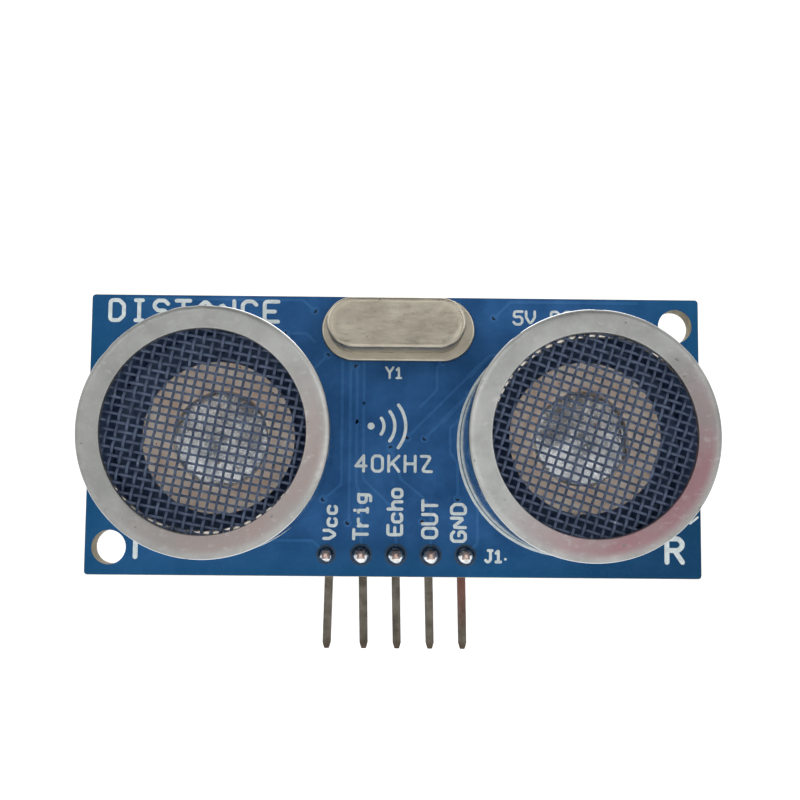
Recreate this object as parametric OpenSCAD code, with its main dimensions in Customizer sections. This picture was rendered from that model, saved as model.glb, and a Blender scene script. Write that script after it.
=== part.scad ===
// Ultrasonic distance sensor: a pair of 40 kHz transducers, a crystal and a five-pin header on one board.
// The board stands upright. +X is to the right of someone facing the transducers, which point along -Y,
// and +Z is up. The origin is the middle of the board's front face, midway between its fixing holes.

/* [Board] */
// Width of the board
board_w = 45; // [44.4:0.1:47]
// Height of the board
board_h = 20.6; // [20.5:0.1:22]
// Thickness of the board
board_t = 1.6; // [1.2:0.1:2]
// Diameter of the two fixing holes
fixing_d = 2.5; // [2:0.1:2.8]
// Distance of each fixing hole from the middle of the board, sideways
fixing_x = 20.75; // [20.6:0.05:20.9]
// Distance of each fixing hole from the middle of the board, up or down
fixing_z = 8.3; // [8.2:0.05:8.5]

/* [Transducers] */
// Distance between the two transducers, centre to centre
can_spacing = 25.4; // [25:0.1:25.8]
// Drop of the transducers' centres below the middle of the board
can_drop = 0.5; // [0.4:0.05:0.8]
// Shift of the transducers, crystal and header to the right of the board's middle
shift = 0.15; // [0:0.05:0.2]
// Diameter of a transducer's can
can_d = 16.1; // [15.8:0.1:16.2]
// Height of a can above the board
can_h = 12.2; // [11.8:0.1:13]
// Thickness of a can's wall and of its face
can_wall = 0.5; // [0.4:0.05:0.8]
// Radius of the edge between a can's face and its side
can_edge_r = 0.45; // [0.2:0.05:0.45]
// Diameter of the opening in a can's face
opening_d = 13; // [12.6:0.1:13.4]
// Thickness of the woven screen, two wires one over the other
screen_t = 0.36; // [0.3:0.02:0.5]
// Diameter of the cone's mouth
cone_d = 10; // [9:0.1:10.2]
// Diameter of the cone's shallow middle
cone_middle_d = 6.1; // [5:0.1:6.5]
// Diameter of a transducer's terminals
terminal_d = 0.8; // [0.6:0.05:0.9]
// Distance between a transducer's two terminals
terminal_pitch = 10; // [9.8:0.1:10]

/* [Crystal] */
// Height of the crystal's centre above the middle of the board
crystal_z = 7.8; // [7.7:0.05:7.9]
// Length of the crystal's flange
flange_l = 11.2; // [10.8:0.05:11.4]
// Width of the crystal's flange
flange_w = 4.65; // [4.5:0.05:4.8]
// Length of the crystal's can
crystal_l = 10.2; // [9.8:0.1:10.4]
// Width of the crystal's can
crystal_w = 3.8; // [3.5:0.1:4]
// Height of the crystal above the board
crystal_h = 3.5; // [3.2:0.1:4.5]
// Distance between the crystal's leads
crystal_pitch = 4.88; // [4.8:0.02:5]

/* [Header] */
// Distance between two pins of the header
pin_pitch = 2.54; // [2.5:0.01:2.6]
// Width of a square pin
pin_w = 0.64; // [0.5:0.02:0.64]
// Height of the pins' row below the middle of the board
pin_row_drop = 8.7; // [8.6:0.05:8.8]
// Distance of the pins' lower legs behind the board's front face
pin_leg_y = 5.5; // [5.3:0.1:6]
// Length of a pin's lower leg below the row
pin_leg = 7.45; // [5:0.05:12]
// Sideways lean of each pin in degrees, from the first pin to the last
pin_lean = [1.2, -1.3, -1.4, -1.4, -1.2];

/* [Hidden] */
$fn = 64;

// Places of the two transducers
transmitter_x = shift - can_spacing / 2;
receiver_x = shift + can_spacing / 2;

// Clearance between parts that slide together
gap = 0.02;
// Distance that a cut runs past the solid it cuts
past = 1;

// Levels inside a transducer, measured from the board's front face
base_z = 0.3;
base_t = 2.3;
base_top = base_z + base_t;
plate_z = 5.3;
plate_t = 0.3;
plate_r = 4.8;
piezo_t = 0.4;
piezo_r = 3.8;
damping_inner_r = 3.95;
damping_outer_r = 4.5;
damping_notch = 0.8;
cone_t = 0.2;
cone_neck_r = 1.2;
cone_neck_h = 0.3;
cone_middle_rise = 0.4;
cone_rim_rise = 2.1;
terminal_top = 3.2;
terminal_tail = 1.3;
lead_wire_r = 0.1;
lead_wire_reach = 2.4;
ring_t = 0.5;
ring_inner_r = opening_d / 2 - 0.15;
screen_margin = 0.6;
screen_z = can_h - can_wall - screen_t;
can_inner_r = can_d / 2 - can_wall;

// Holes that the leads pass through, and the solder over them
terminal_hole_r = 0.5;
pin_hole_r = 0.5;
crystal_hole_r = 0.35;
terminal_pad_r = 1.1;
terminal_solder_h = 0.8;
pin_pad_r = 0.78;
pin_solder_h = 0.6;
crystal_pad_r = 0.75;
crystal_solder_h = 0.6;

// Crystal, inside and out
flange_t = 0.5;
crystal_wall = 0.3;
crystal_edge_r = 0.4;
crystal_inner_edge_r = 0.15;
crystal_lead_r = 0.215;
crystal_lead_top = 1.3;
crystal_lead_tail = 0.9;
seal_r = 0.7;
holder_l = 0.8;
holder_t = 0.1;
holder_w = 1.6;
holder_h = 0.9;
blank_w = 1.9;
blank_t = 0.2;
blank_z = crystal_lead_top + holder_h / 2;

// Header
pin_count = len(pin_lean);
pin_front = 0.9;
pin_bend_r = 0.9;
pin_tip_w = 0.38;
pin_tip_l = 0.5;
strip_t = 2.5;
strip_w = 2.5;
strip_notch = 0.35;
strip_hole_w = pin_w + 2 * gap;

// Chips with gull-wing leads, seen from behind with their length upright
chip_row_z = 0.6;
chip_step = 6.8;
chip_w = 3.9;
chip_top_w = 3.6;
chip_bottom = 0.15;
chip_top = 1.65;
lead_pitch = 1.27;
lead_w = 0.4;
lead_t = 0.2;
lead_root_z = 0.75;
lead_shoulder = 0.3;
lead_foot_x = 2.5;
lead_span = 6;
dimple_r = 0.4;
dimple_depth = 0.1;
dimple_inset = 1;
lead_bend = 0.12;
chip_end = 0.515;

// Small transistor
transistor_place = [17.2, 5.4];
transistor_l = 2.9;
transistor_w = 1.3;
transistor_h = 1;
transistor_lead_pitch = 1.9;
transistor_lead_w = 0.42;
transistor_reach = 0.55;
transistor_lead_t = 0.15;

// Resistors and capacitors: length with ends, width, height and length of one end
resistor_size = [1.6, 0.8, 0.45];
capacitor_size = [1.6, 0.8, 0.8];
end_l = 0.3;
low_row_z = -5.9;
high_row_z = 8.7;
part_step = 2.4;
upright = 90;
// Each place is across, up and the part's turn
resistor_places = concat(
    [for (i = [0:4]) [-9.6 + part_step * i, low_row_z, 0]],
    [for (i = [0:2]) [-10.4 + part_step * i, high_row_z, 0]],
    [for (i = [0:2]) [-18.6 + part_step * i, -3.2, upright]],
    [for (i = [0:1]) [16 + part_step * i, -3.2, upright]],
    [[-18.6, 2.4, upright], [-16.2, 2.4, upright], [-17.4, 6.2, 0]]
);
capacitor_places = concat(
    [for (i = [0:3]) [2.4 + part_step * i, low_row_z, 0]],
    [for (i = [0:2]) [5.6 + part_step * i, high_row_z, 0]],
    [for (i = [0:1]) [10.8, -2.6 + part_step * i, upright]],
    [[16, 1, 0], [18.6, 1, 0], [-10.9, 0.6, upright]]
);

// Puts something on the board's front face at x, z, with its own +Z away from the board
module facing(x, z) {
    translate([x, 0, z])
        rotate([90, 0, 0])
            children();
}

// Puts something on the board's back face at x, z, with its own +Z away from the board
module behind(x, z) {
    translate([x, board_t, z])
        rotate([-90, 0, 0])
            children();
}

// Turns a part's children about the point where it stands on the back of the board
module placed_behind(place) {
    behind(place[0], place[1])
        rotate([0, 0, place[2]])
            children();
}

// Flat outline with straight sides and round ends
module obround(length, width) {
    square([length - width, width], center = true);
    for (side = [-1, 1])
        translate([side * (length - width) / 2, 0])
            circle(d = width);
}

// Half of a section through a lid: height along Y, with a rounded top corner
module lid_section(half_width, height, edge_r) {
    square([half_width, height - edge_r]);
    square([half_width - edge_r, height]);
    translate([half_width - edge_r, height - edge_r])
        circle(edge_r);
}

// Block with round ends and a rounded top edge
module lid(length, width, height, edge_r) {
    straight = length - width;
    for (side = [-1, 1])
        translate([side * straight / 2, 0, 0])
            rotate_extrude()
                lid_section(width / 2, height, edge_r);
    translate([-straight / 2, 0, 0])
        rotate([90, 0, 90])
            linear_extrude(straight)
                for (turn = [0, 1])
                    mirror([turn, 0])
                        lid_section(width / 2, height, edge_r);
}

// Solder dome that covers a round pad
module dome(pad_r, height) {
    dome_r = (pad_r * pad_r + height * height) / (2 * height);
    rotate_extrude()
        intersection() {
            translate([0, height - dome_r])
                circle(dome_r);
            square([pad_r, height]);
        }
}

module circuit_board() {
    color([0.12, 0.29, 0.45])
        facing(0, 0)
            translate([0, 0, -board_t])
                linear_extrude(board_t)
                    difference() {
                        square([board_w, board_h], center = true);
                        for (side = [-1, 1]) {
                            translate([side * fixing_x, side * fixing_z])
                                circle(d = fixing_d);
                            translate([shift + side * crystal_pitch / 2, crystal_z])
                                circle(crystal_hole_r);
                            for (end = [-1, 1])
                                translate([shift + side * can_spacing / 2, end * terminal_pitch / 2 - can_drop])
                                    circle(terminal_hole_r);
                        }
                        for (i = [0:pin_count - 1])
                            translate([pin_x(i), -pin_row_drop])
                                circle(pin_hole_r);
                    }
}

module can(x) {
    color([0.66, 0.66, 0.67])
        facing(x, -can_drop)
            rotate_extrude($fn = 96)
                difference() {
                    lid_section(can_d / 2, can_h, can_edge_r);
                    square([can_inner_r, can_h - can_wall]);
                    square([opening_d / 2, can_h + past]);
                }
}

module screen(x) {
    color([0.25, 0.3, 0.38])
        facing(x, -can_drop)
            translate([0, 0, screen_z])
                cylinder(r = opening_d / 2 + screen_margin, h = screen_t);
}

module screen_ring(x) {
    color([0.75, 0.75, 0.76])
        facing(x, -can_drop)
            translate([0, 0, screen_z - ring_t])
                difference() {
                    cylinder(r = can_inner_r - gap, h = ring_t);
                    translate([0, 0, -past])
                        cylinder(r = ring_inner_r, h = ring_t + 2 * past);
                }
}

module cone(x) {
    neck_top = plate_z + plate_t + cone_neck_h;
    middle_z = neck_top + cone_middle_rise;
    rim_z = neck_top + cone_rim_rise;
    color([0.72, 0.64, 0.56])
        facing(x, -can_drop)
            rotate_extrude() {
                polygon([
                    [0, neck_top],
                    [cone_middle_d / 2, middle_z],
                    [cone_d / 2, rim_z],
                    [cone_d / 2, rim_z + cone_t],
                    [cone_middle_d / 2, middle_z + cone_t],
                    [0, neck_top + cone_t]
                ]);
                translate([0, plate_z + plate_t])
                    square([cone_neck_r, cone_neck_h + cone_t]);
            }
}

module vibrator_plate(x) {
    color([0.8, 0.72, 0.45])
        facing(x, -can_drop)
            translate([0, 0, plate_z])
                cylinder(r = plate_r, h = plate_t);
}

module piezo_disc(x) {
    color([0.85, 0.82, 0.74])
        facing(x, -can_drop)
            translate([0, 0, plate_z - piezo_t])
                cylinder(r = piezo_r, h = piezo_t);
}

module damping_ring(x) {
    height = plate_z - base_top;
    color([0.85, 0.85, 0.82])
        facing(x, -can_drop)
            translate([0, 0, base_top])
                difference() {
                    cylinder(r = damping_outer_r, h = height);
                    translate([0, 0, -past])
                        cylinder(r = damping_inner_r, h = height + 2 * past);
                    translate([-damping_notch / 2, -damping_outer_r - past, 0])
                        cube([damping_notch, damping_outer_r, height + past]);
                }
}

module base(x) {
    color([0.12, 0.12, 0.13])
        facing(x, -can_drop)
            translate([0, 0, base_z])
                difference() {
                    cylinder(r = can_inner_r - gap, h = base_t);
                    for (end = [-1, 1])
                        translate([0, end * terminal_pitch / 2, -past])
                            cylinder(r = terminal_d / 2 + gap, h = base_t + 2 * past);
                }
}

module terminals(x) {
    color([0.8, 0.8, 0.78])
        facing(x, -can_drop)
            for (end = [-1, 1])
                translate([0, end * terminal_pitch / 2, -board_t - terminal_tail])
                    cylinder(r = terminal_d / 2, h = terminal_top + board_t + terminal_tail);
}

// One wire goes straight up to the plate, the other slants through the damping ring's notch to the disc
module lead_wires(x) {
    rise = plate_z - piezo_t - terminal_top - 2 * lead_wire_r;
    slant = atan2(lead_wire_reach, rise);
    color([0.7, 0.4, 0.25])
        facing(x, -can_drop) {
            translate([0, terminal_pitch / 2, terminal_top])
                cylinder(r = lead_wire_r, h = plate_z - terminal_top);
            translate([0, -terminal_pitch / 2, terminal_top + lead_wire_r])
                rotate([-slant, 0, 0])
                    cylinder(r = lead_wire_r, h = norm([lead_wire_reach, rise]));
        }
}

module transducer_solder() {
    color([0.78, 0.78, 0.76])
        for (side = [-1, 1])
            for (end = [-1, 1])
                behind(shift + side * can_spacing / 2, end * terminal_pitch / 2 - can_drop)
                    difference() {
                        dome(terminal_pad_r, terminal_solder_h);
                        translate([0, 0, -past])
                            cylinder(r = terminal_d / 2, h = terminal_solder_h + 2 * past);
                    }
}

module crystal_can() {
    inner_l = crystal_l - 2 * crystal_wall;
    inner_w = crystal_w - 2 * crystal_wall;
    inner_h = crystal_h - flange_t - crystal_wall;
    color([0.62, 0.6, 0.54])
        facing(shift, crystal_z)
            translate([0, 0, flange_t])
                difference() {
                    lid(crystal_l, crystal_w, crystal_h - flange_t, crystal_edge_r);
                    lid(inner_l, inner_w, inner_h, crystal_inner_edge_r);
                }
}

module crystal_base() {
    color([0.6, 0.58, 0.52])
        facing(shift, crystal_z)
            linear_extrude(flange_t)
                difference() {
                    obround(flange_l, flange_w);
                    for (side = [-1, 1])
                        translate([side * crystal_pitch / 2, 0])
                            circle(seal_r);
                }
}

module crystal_seals() {
    color([0.25, 0.4, 0.35])
        facing(shift, crystal_z)
            for (side = [-1, 1])
                translate([side * crystal_pitch / 2, 0, 0])
                    linear_extrude(flange_t)
                        difference() {
                            circle(seal_r);
                            circle(crystal_lead_r);
                        }
}

module crystal_leads() {
    color([0.8, 0.8, 0.78])
        facing(shift, crystal_z)
            for (side = [-1, 1])
                translate([side * crystal_pitch / 2, 0, -board_t - crystal_lead_tail])
                    cylinder(r = crystal_lead_r, h = crystal_lead_top + board_t + crystal_lead_tail, $fn = 32);
}

// Two bent springs on top of the leads, which hold the ends of the quartz between their arms
module crystal_holders() {
    color([0.75, 0.72, 0.6])
        facing(shift, crystal_z)
            for (side = [-1, 1])
                mirror([(1 - side) / 2, 0, 0])
                    translate([crystal_pitch / 2, 0, crystal_lead_top])
                        difference() {
                            translate([-holder_l / 2, -holder_w / 2, 0])
                                cube([holder_l * 1.5, holder_w, holder_h]);
                            translate([-holder_l, -holder_w, holder_t])
                                cube([holder_l * 2 - holder_t * 2, holder_w * 2, holder_h - 2 * holder_t]);
                        }
}

module quartz_blank() {
    length = crystal_pitch + 2 * holder_l - 6 * holder_t;
    color([0.85, 0.88, 0.9])
        facing(shift, crystal_z)
            translate([0, 0, blank_z])
                cube([length, blank_w, blank_t], center = true);
}

module crystal_solder() {
    color([0.78, 0.78, 0.76])
        for (side = [-1, 1])
            behind(shift + side * crystal_pitch / 2, crystal_z)
                difference() {
                    dome(crystal_pad_r, crystal_solder_h);
                    translate([0, 0, -past])
                        cylinder(r = crystal_lead_r, h = crystal_solder_h + 2 * past, $fn = 32);
                }
}

// Place of a pin along the row
function pin_x(i) = shift + (i - (pin_count - 1) / 2) * pin_pitch;

module header_strip() {
    half_w = strip_w / 2;
    half_pitch = pin_pitch / 2;
    color([0.1, 0.1, 0.11])
        behind(0, -pin_row_drop)
            linear_extrude(strip_t)
                for (i = [0:pin_count - 1])
                    translate([pin_x(i), 0])
                        difference() {
                            polygon([
                                [-half_pitch, strip_notch - half_w], [strip_notch - half_pitch, -half_w],
                                [half_pitch - strip_notch, -half_w], [half_pitch, strip_notch - half_w],
                                [half_pitch, half_w - strip_notch], [half_pitch - strip_notch, half_w],
                                [strip_notch - half_pitch, half_w], [-half_pitch, half_w - strip_notch]
                            ]);
                            square(strip_hole_w, center = true);
                        }
}

// Outline of a pin's lower leg, which narrows at its tip
module pin_leg_outline() {
    leg = pin_leg - pin_bend_r;
    polygon([
        [-pin_w / 2, 0], [-pin_w / 2, pin_tip_l - leg], [-pin_tip_w / 2, -leg],
        [pin_tip_w / 2, -leg], [pin_w / 2, pin_tip_l - leg], [pin_w / 2, 0]
    ]);
}

module pin(i) {
    color([0.46, 0.44, 0.4])
        translate([pin_x(i), 0, -pin_row_drop])
            rotate([0, pin_lean[i], 0]) {
                translate([-pin_w / 2, -pin_front, -pin_w / 2])
                    cube([pin_w, pin_leg_y - pin_bend_r + pin_front, pin_w]);
                translate([0, pin_leg_y - pin_bend_r, -pin_bend_r])
                    rotate([90, 0, 90])
                        rotate_extrude(angle = 90)
                            translate([pin_bend_r - pin_w / 2, -pin_w / 2])
                                square(pin_w);
                translate([0, pin_leg_y, -pin_bend_r])
                    intersection() {
                        rotate([90, 0, 0])
                            linear_extrude(pin_w, center = true)
                                pin_leg_outline();
                        rotate([90, 0, 90])
                            linear_extrude(pin_w, center = true)
                                pin_leg_outline();
                    }
            }
}

module header_solder() {
    color([0.78, 0.78, 0.76])
        for (i = [0:pin_count - 1])
            facing(pin_x(i), -pin_row_drop)
                difference() {
                    dome(pin_pad_r, pin_solder_h);
                    rotate([0, 0, -pin_lean[i]])
                        cube([pin_w, pin_w, 2 * pin_solder_h + past], center = true);
                }
}

// Moulded body of a chip with its length along Y and a dimple beside its first lead
module chip_body(leads) {
    length = (leads / 2 - 1) * lead_pitch + 2 * chip_end;
    color([0.13, 0.13, 0.14])
        difference() {
            rotate([90, 0, 0])
                linear_extrude(length, center = true)
                    polygon([
                        [-chip_top_w / 2, chip_bottom], [chip_top_w / 2, chip_bottom],
                        [chip_w / 2, lead_root_z], [chip_w / 2, lead_root_z + lead_t],
                        [chip_top_w / 2, chip_top], [-chip_top_w / 2, chip_top],
                        [-chip_w / 2, lead_root_z + lead_t], [-chip_w / 2, lead_root_z]
                    ]);
            translate([dimple_inset - chip_top_w / 2, dimple_inset - length / 2, chip_top - dimple_depth])
                cylinder(r = dimple_r, h = dimple_depth + past);
        }
}

// Gull-wing leads down both sides of a chip
module chip_leads(leads) {
    per_side = leads / 2;
    root_x = chip_w / 2;
    color([0.75, 0.75, 0.74])
        for (side = [-1, 1])
            for (i = [0:per_side - 1])
                translate([0, (i - (per_side - 1) / 2) * lead_pitch, 0])
                    mirror([(1 - side) / 2, 0, 0])
                        rotate([90, 0, 0])
                            linear_extrude(lead_w, center = true)
                                polygon([
                                    [root_x, lead_root_z], [root_x + lead_shoulder, lead_root_z],
                                    [lead_foot_x, 0], [lead_span / 2, 0], [lead_span / 2, lead_t],
                                    [lead_foot_x + lead_bend, lead_t],
                                    [root_x + lead_shoulder + lead_bend, lead_root_z + lead_t],
                                    [root_x, lead_root_z + lead_t]
                                ]);
}

module controller_body() {
    behind(-chip_step, chip_row_z)
        chip_body(14);
}

module controller_leads() {
    behind(-chip_step, chip_row_z)
        chip_leads(14);
}

module amplifier_body() {
    behind(0, chip_row_z)
        chip_body(14);
}

module amplifier_leads() {
    behind(0, chip_row_z)
        chip_leads(14);
}

module driver_body() {
    behind(chip_step, chip_row_z)
        chip_body(16);
}

module driver_leads() {
    behind(chip_step, chip_row_z)
        chip_leads(16);
}

module transistor_body() {
    color([0.13, 0.13, 0.14])
        behind(transistor_place[0], transistor_place[1])
            translate([-transistor_l / 2, -transistor_w / 2, transistor_lead_t])
                cube([transistor_l, transistor_w, transistor_h - transistor_lead_t]);
}

// Two leads on the lower side and one in the middle of the upper side
module transistor_leads() {
    color([0.75, 0.75, 0.74])
        behind(transistor_place[0], transistor_place[1])
            for (lead = [[-transistor_lead_pitch / 2, 1], [transistor_lead_pitch / 2, 1], [0, -1]])
                translate([lead[0], lead[1] * (transistor_w + transistor_reach) / 2, transistor_lead_t / 2])
                    cube([transistor_lead_w, transistor_reach, transistor_lead_t], center = true);
}

// Middle of a resistor or capacitor, between its metal ends
module part_middle(size) {
    translate([end_l - size[0] / 2, -size[1] / 2, 0])
        cube([size[0] - 2 * end_l, size[1], size[2]]);
}

// The two metal ends of a resistor or capacitor
module part_ends(size) {
    for (side = [-1, 1])
        translate([side * (size[0] - end_l) / 2 - end_l / 2, -size[1] / 2, 0])
            cube([end_l, size[1], size[2]]);
}

module resistor_bodies() {
    color([0.14, 0.14, 0.16])
        for (place = resistor_places)
            placed_behind(place)
                part_middle(resistor_size);
}

module resistor_ends() {
    color([0.78, 0.78, 0.76])
        for (place = resistor_places)
            placed_behind(place)
                part_ends(resistor_size);
}

module capacitor_bodies() {
    color([0.62, 0.5, 0.36])
        for (place = capacitor_places)
            placed_behind(place)
                part_middle(capacitor_size);
}

module capacitor_ends() {
    color([0.78, 0.78, 0.76])
        for (place = capacitor_places)
            placed_behind(place)
                part_ends(capacitor_size);
}

circuit_board();
can(transmitter_x);  // transmitter_can
screen(transmitter_x);  // transmitter_screen
screen_ring(transmitter_x);  // transmitter_screen_ring
cone(transmitter_x);  // transmitter_cone
vibrator_plate(transmitter_x);  // transmitter_vibrator_plate
piezo_disc(transmitter_x);  // transmitter_piezo_disc
damping_ring(transmitter_x);  // transmitter_damping_ring
base(transmitter_x);  // transmitter_base
terminals(transmitter_x);  // transmitter_terminals
lead_wires(transmitter_x);  // transmitter_lead_wires
can(receiver_x);  // receiver_can
screen(receiver_x);  // receiver_screen
screen_ring(receiver_x);  // receiver_screen_ring
cone(receiver_x);  // receiver_cone
vibrator_plate(receiver_x);  // receiver_vibrator_plate
piezo_disc(receiver_x);  // receiver_piezo_disc
damping_ring(receiver_x);  // receiver_damping_ring
base(receiver_x);  // receiver_base
terminals(receiver_x);  // receiver_terminals
lead_wires(receiver_x);  // receiver_lead_wires
transducer_solder();
crystal_can();
crystal_base();
crystal_seals();
crystal_leads();
crystal_holders();
quartz_blank();
crystal_solder();
header_strip();
pin(0);  // pin_supply
pin(1);  // pin_trigger
pin(2);  // pin_echo
pin(3);  // pin_output
pin(4);  // pin_ground
header_solder();
controller_body();
controller_leads();
amplifier_body();
amplifier_leads();
driver_body();
driver_leads();
transistor_body();
transistor_leads();
resistor_bodies();
resistor_ends();
capacitor_bodies();
capacitor_ends();
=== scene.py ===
import math
import random

import bmesh
import bpy
from mathutils import Matrix, Vector


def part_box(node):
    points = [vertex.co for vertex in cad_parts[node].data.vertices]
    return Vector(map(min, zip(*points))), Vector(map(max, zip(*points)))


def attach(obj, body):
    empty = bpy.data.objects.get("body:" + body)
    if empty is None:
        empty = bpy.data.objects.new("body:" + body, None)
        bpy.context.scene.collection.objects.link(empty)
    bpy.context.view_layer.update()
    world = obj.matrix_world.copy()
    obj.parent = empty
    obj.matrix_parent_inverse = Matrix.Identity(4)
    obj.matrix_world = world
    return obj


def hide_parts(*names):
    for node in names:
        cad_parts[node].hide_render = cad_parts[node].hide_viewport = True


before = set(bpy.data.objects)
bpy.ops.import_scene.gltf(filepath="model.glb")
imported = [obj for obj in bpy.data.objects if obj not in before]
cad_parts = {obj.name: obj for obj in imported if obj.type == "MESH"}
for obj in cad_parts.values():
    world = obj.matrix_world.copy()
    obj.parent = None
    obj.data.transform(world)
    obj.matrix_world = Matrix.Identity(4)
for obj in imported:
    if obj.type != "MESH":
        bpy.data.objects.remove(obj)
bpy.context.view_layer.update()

MM = 0.001
BODY = "root"
SIDES = ("transmitter", "receiver")


def box(node):
    """Lowest and highest corners of a CAD node."""
    low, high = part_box(node)
    return low / MM, high / MM


def middle(node):
    low, high = box(node)
    return (low + high) / 2


BOARD_LOW, BOARD_HIGH = box("circuit_board")
BOARD_T = BOARD_HIGH.y - BOARD_LOW.y
FIXING_X, FIXING_Z, FIXING_R = 20.75, 8.3, 1.25
# Local axes whose XY plane stands up: X as before, Y up and Z backwards
STANDING = Matrix(((1, 0, 0, 0), (0, 0, -1, 0), (0, 1, 0, 0), (0, 0, 0, 1)))
STRIP_LOW, STRIP_HIGH = box("header_strip")
PIN_NODES = ("pin_supply", "pin_trigger", "pin_echo", "pin_output", "pin_ground")
PIN_PITCH = (STRIP_HIGH.x - STRIP_LOW.x) / len(PIN_NODES)
PIN_Z = (STRIP_LOW.z + STRIP_HIGH.z) / 2
PIN_XS = [STRIP_LOW.x + (i + 0.5) * PIN_PITCH for i in range(len(PIN_NODES))]
CRYSTAL = middle("crystal_can")


def lead_pair(node):
    """The radius of two round leads that stand in line along X or Z, and where each one is."""
    low, high = box(node)
    radius = min(high.x - low.x, high.z - low.z) / 2
    return radius, [(low.x + radius, low.z + radius), (high.x - radius, high.z - radius)]


# ---------- mesh helpers

def facing(x, z):
    """Local axes on the board's front face: +X right, +Y up, +Z towards the viewer."""
    return Matrix(((MM, 0, 0, x * MM), (0, 0, -MM, 0), (0, MM, 0, z * MM), (0, 0, 0, 1)))


def behind(x, z):
    """Local axes on the board's back face: +X right, +Y down, +Z away from the board."""
    return Matrix(((MM, 0, 0, x * MM), (0, 0, MM, BOARD_T * MM), (0, -MM, 0, z * MM), (0, 0, 0, 1)))


def turned(place, degrees):
    """The same local axes, turned about their own Z."""
    return place @ Matrix.Rotation(math.radians(degrees), 4, "Z")


def circle(x, y, radius, steps=48):
    """Round outline as a function of its inset."""
    def ring(inset=0.0):
        turn = 2 * math.pi / steps
        return [(x + (radius - inset) * math.cos(i * turn), y + (radius - inset) * math.sin(i * turn))
                for i in range(steps)]
    return ring


def obround(length, width, steps=24):
    """Outline with straight sides and round ends, as a function of its inset."""
    def ring(inset=0.0):
        radius = width / 2 - inset
        reach = (length - width) / 2
        points = []
        for side in (1, -1):
            for i in range(steps + 1):
                angle = math.pi * (i / steps - 0.5)
                points.append((side * (reach + radius * math.cos(angle)), side * radius * math.sin(angle)))
        return points
    return ring


def plate(length, width, corner=0.1, steps=3):
    """Rectangle with rounded corners, as a function of its inset."""
    def ring(inset=0.0):
        half_l, half_w = length / 2 - inset, width / 2 - inset
        radius = max(corner - inset, corner * 0.4)
        points = []
        for quarter, (side_x, side_y) in enumerate(((1, 1), (-1, 1), (-1, -1), (1, -1))):
            for i in range(steps + 1):
                angle = math.pi / 2 * (quarter + i / steps)
                points.append((side_x * (half_l - radius) + radius * math.cos(angle),
                               side_y * (half_w - radius) + radius * math.sin(angle)))
        return points
    return ring


def soften(points, radius=0.1, steps=3, closed=True):
    """Rounds the corners of a flat line or outline. A point's third number is its own radius."""
    rounded = []
    last = len(points) - 1
    for i, point in enumerate(points):
        here = Vector(point[:2])
        own = point[2] if len(point) > 2 else radius
        if own == 0 or (not closed and i in (0, last)):
            rounded.append(here)
            continue
        before = Vector(points[i - 1][:2]) - here
        after = Vector(points[(i + 1) % (last + 1)][:2]) - here
        half = before.angle(after) / 2
        reach = min(own / math.tan(half), before.length * 0.48, after.length * 0.48)
        start = here + before.normalized() * reach
        end = here + after.normalized() * reach
        for k in range(steps + 1):
            t = k / steps
            rounded.append(start * (1 - t) ** 2 + here * (2 * t * (1 - t)) + end * t ** 2)
    return rounded


def skin(bm, place, rings, caps=True, loop=False):
    """Joins rings of equally many points with faces, and returns the rings' vertices."""
    made = [[bm.verts.new(place @ Vector(point)) for point in ring] for ring in rings]
    following = made[1:] + made[:1] if loop else made[1:]
    for low, high in zip(made, following):
        for i in range(len(low)):
            j = (i + 1) % len(low)
            bm.faces.new((low[i], low[j], high[j], high[i]))
    if caps and not loop:
        bm.faces.new(tuple(reversed(made[0])))
        bm.faces.new(made[-1])
    return made


def stack(bm, place, outline, profile, caps=True):
    """Solid whose outline is inset by a different amount at each height of its profile."""
    rings = [[(x, y, height) for x, y in outline(inset)] for inset, height in profile]
    return skin(bm, place, rings, caps)


def lathe(bm, place, profile, steps=96, loop=True):
    """Turns a profile of radius and height about the local Z axis."""
    rings = [[(x, y, height) for x, y in circle(0, 0, radius, steps)()] for radius, height in profile]
    return skin(bm, place, rings, loop=loop)


def eased(low, high, foot=0.05, top=0.05, steps=3):
    """Profile of a block from low to high with rounded edges at its foot and its top."""
    turns = [math.pi / 2 * i / steps for i in range(steps + 1)]
    rows = [(foot * (1 - math.sin(turn)), low + foot * (1 - math.cos(turn))) for turn in turns]
    return rows + [(top * (1 - math.cos(turn)), high - top * (1 - math.sin(turn))) for turn in turns]


def fill(bm, loops):
    """Fills a flat region between an outer ring of vertices and the rings inside it."""
    edges = []
    for ring in loops:
        for i, vertex in enumerate(ring):
            other = ring[(i + 1) % len(ring)]
            edges.append(bm.edges.get((vertex, other)) or bm.edges.new((vertex, other)))
    bmesh.ops.triangle_fill(bm, use_beauty=True, use_dissolve=False, edges=edges)


def pierced(bm, place, outline, holes, low, high, ease=0.03):
    """Flat plate with holes and eased edges."""
    bottom, top = [], []
    for ring, inward in [(outline, 1)] + [(hole, -1) for hole in holes]:
        edge = inward * ease
        rows = ((edge, low), (0, low + ease), (0, high - ease), (edge, high))
        made = stack(bm, place, ring, rows, caps=False)
        bottom.append(made[0])
        top.append(made[-1])
    fill(bm, bottom)
    fill(bm, top)


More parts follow.
